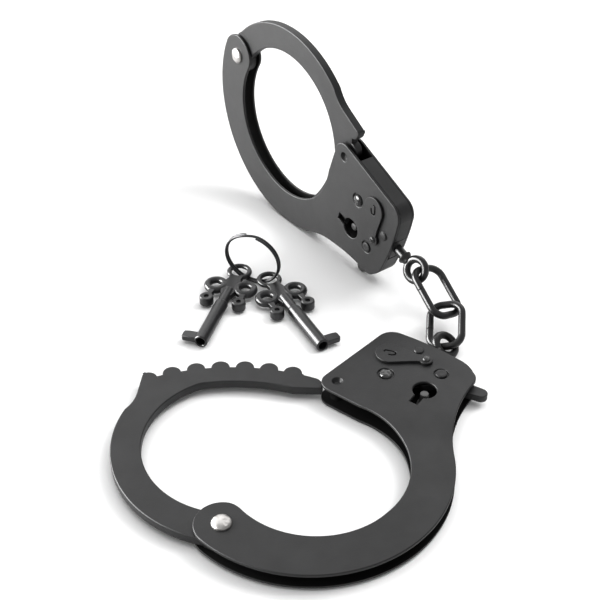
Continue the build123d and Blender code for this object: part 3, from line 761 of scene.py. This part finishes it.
link(
    "link_lower", (27.32, 19.9, 6.13), (0.626, -0.719, 0.301), (0.627, 0.694, 0.354),
    width=10.67, length=15.79, seam=-1.0,
)
link(
    "link_upper", (32.24, 30.34, 11.35), (0.982, -0.081, -0.171), (0.148, 0.892, 0.428),
    width=10.82, length=18.29, seam=2.0,
)


# ---- keys and their ring --------------------------------------------------------
def flat_ring(centre, radius):
    """The centre line of a ring that lies flat."""
    return [(*p, 0.0) for p in circle(centre, radius, 64)]


def key(name, body, start, direction, bit_side):
    """A tubular key: three-ring bow, two drums, stepped hollow barrel and bit."""
    turn = radians(direction)
    here = Plane((*start, KEY_HEIGHT), (-cos(turn), -sin(turn), 0), (0, 0, 1))
    along = Plane(here.origin, here.z, -here.x)
    end = KEY_LENGTH

    def add(part, bm, plane=here):
        place(finish_mesh(name + part, bm, plane), body, [name], "key_black")

    shaft = [(0, -3.4), (1.75, -3.2), (1.85, -2.6), (1.85, 4.2), (1.95, 4.6), (2.2, 4.9)]
    shaft += [(KEY_BARREL, 5.3), (KEY_BARREL, end - 0.35), (KEY_BARREL - 0.3, end)]
    shaft += [(KEY_BORE + 0.15, end), (KEY_BORE, end - 0.2), (KEY_BORE, end - 11.9), (0, end - 12)]
    add("_barrel", lathe(shaft, (0, 0), 40), along)
    bm = tube(flat_ring((BOW_TOP, 0), BOW_TOP_RING), BOW_TOP_WIRE)
    drum = [(0, -1.6), (2.0, -1.6), (2.3, -1.4), (2.4, -1.0), (2.4, 1.0), (2.3, 1.38)]
    drum += [(2.0, 1.6), (1.1, 1.62), (0.85, 1.5), (0.8, 0.4), (0, 0.35)]
    for side in (-1, 1):
        tube(flat_ring((BOW_SIDE[0], side * BOW_SIDE[1]), BOW_SIDE_RING), BOW_SIDE_WIRE, bm=bm)
        lathe(drum, (DRUM_BACK, side * DRUM_SIDE), 32, bm)
    add("_bow", bm)
    top = BOW_TOP - BOW_TOP_RING + 0.2
    web = [(-0.6, -1.9), (1.0, -2.4), (3.2, -3.1), (7.4, -3.0), (9.2, -2.2), (top, -2.5)]
    web += [(x, -y) for x, y in reversed(web)]
    add("_web", slab(web, [], -KEY_PLATE_HALF, KEY_PLATE_HALF, SOFT_EDGE, SOFT_EDGE))
    for side, part in ((-1, "_arm_b"), (1, "_arm_a")):
        arm = [(-4.2, side * 5.1), (1.8, side * 4.4), (1.8, side * 6.6), (-4.2, side * 6.4)]
        add(part, slab(arm, [], -KEY_PLATE_HALF, KEY_PLATE_HALF, SOFT_EDGE, SOFT_EDGE))
    bit = [(-22.3, 1.7), (-22.3, 4.9), (-22.6, 6.4), (-23.2, 6.7)]
    bit += [(-25.3, 6.7), (-25.7, 6.2), (-25.7, 1.7)]
    bit = [(x, bit_side * y) for x, y in bit]
    add("_bit", slab(bit, [], -BIT_HALF, BIT_HALF, BIT_EDGE, BIT_EDGE))


key("key_left", "left_key", start=(-18.2, 80.3), direction=-142.6, bit_side=1)
key("key_right", "right_key", start=(-3.6, 64.75), direction=-100.0, bit_side=-1)


def split_ring():
    """Two close turns of wire that cross over at the top."""
    normal = Vector(RING_NORMAL).normalized()
    up = Vector((0, 0, 1))
    here = Plane(RING_CENTRE, up - normal * normal.z, normal)
    path = []
    for turn in between(RING_START, RING_END, 280):
        crossed = min(1.0, max(0.0, (turn - CROSSING) / CROSSING_TURN))
        offset = RING_PITCH * (crossed**2 * (3 - 2 * crossed) - 0.5)
        path.append((*on_circle((0, 0), RING_RADIUS, turn), offset))
    bm = tube(path, RING_WIRE, closed=False, count=14)
    place(finish_mesh("ring_coils", bm, here), "key_ring", ["split_ring"], "ring_steel")


split_ring()


# ---- studio ---------------------------------------------------------------------
FLOOR_HALF = 3.0                 # metres
FLOOR_DROP = 0.0002
FILL_STRENGTH = 0.56
CAMERA_PLACE = (-186.09, -186.74, 238.95)     # millimetres
CAMERA_AIM = (0.4766, 0.6384, -0.6044)
CAMERA_LENS = 69.12


def aim(shown, direction):
    """Point a lamp or the camera along a direction."""
    shown.rotation_mode = "QUATERNION"
    shown.rotation_quaternion = Vector(direction).to_track_quat("-Z", "Y")


def panel(name, place_at, target, size, power, diffuse=True, glossy=True):
    """A soft rectangular lamp that gives general light or only sheen."""
    light = bpy.data.lights.new(name, "AREA")
    light.shape = "RECTANGLE"
    light.size, light.size_y = size
    light.energy = power
    lamp = bpy.data.objects.new(name, light)
    lamp.location = place_at
    aim(lamp, Vector(target) - Vector(place_at))
    lamp.visible_diffuse = diffuse
    lamp.visible_glossy = glossy
    bpy.context.scene.collection.objects.link(lamp)


def studio():
    """Pale floor, soft light and the camera."""
    bm = bmesh.new()
    for x, y in ((-1, -1), (1, -1), (1, 1), (-1, 1)):
        bm.verts.new((x * FLOOR_HALF, y * FLOOR_HALF, -FLOOR_DROP))
    bm.faces.new(bm.verts[:])
    mesh = bpy.data.meshes.new("floor")
    bm.to_mesh(mesh)
    bm.free()
    floor = bpy.data.objects.new("floor", mesh)
    bpy.context.scene.collection.objects.link(floor)
    material = bpy.data.materials.new("floor")
    material.use_nodes = True
    shader = material.node_tree.nodes["Principled BSDF"]
    shader.inputs["Base Color"].default_value = (0.86, 0.86, 0.86, 1)
    shader.inputs["Roughness"].default_value = 0.6
    shader.inputs["Specular IOR Level"].default_value = 0.2
    mesh.materials.append(material)

    world = bpy.data.worlds.new("studio")
    bpy.context.scene.world = world
    world.use_nodes = True
    back = world.node_tree.nodes["Background"]
    back.inputs["Color"].default_value = (1, 1, 1, 1)
    back.inputs["Strength"].default_value = FILL_STRENGTH

    panel("back_light", (0.62, 0.83, 0.80), (0.0, 0.05, 0.0), (1.7, 1.1), 8.5, diffuse=False)
    panel("left_light", (-0.85, 0.80, 0.30), (0.03, 0.10, 0.03), (1.2, 0.9), 85.0, diffuse=False)
    panel("top_light", (0.05, 0.10, 1.4), (0.0, 0.05, 0.0), (1.6, 1.6), 10.8, glossy=False)
    panel("side_light", (0.75, -0.20, 0.95), (0.0, 0.06, 0.0), (0.5, 0.5), 6.0, glossy=False)
    camera = bpy.data.cameras.new("camera")
    camera.lens = CAMERA_LENS
    camera.sensor_width = 36.0
    camera.clip_start = 0.01
    eye = bpy.data.objects.new("camera", camera)
    eye.location = Vector(CAMERA_PLACE) * MM
    aim(eye, CAMERA_AIM)
    bpy.context.scene.collection.objects.link(eye)
    bpy.context.scene.camera = eye
    bpy.context.scene.view_settings.view_transform = "Standard"
    bpy.context.scene.view_settings.look = "Medium High Contrast"


studio()
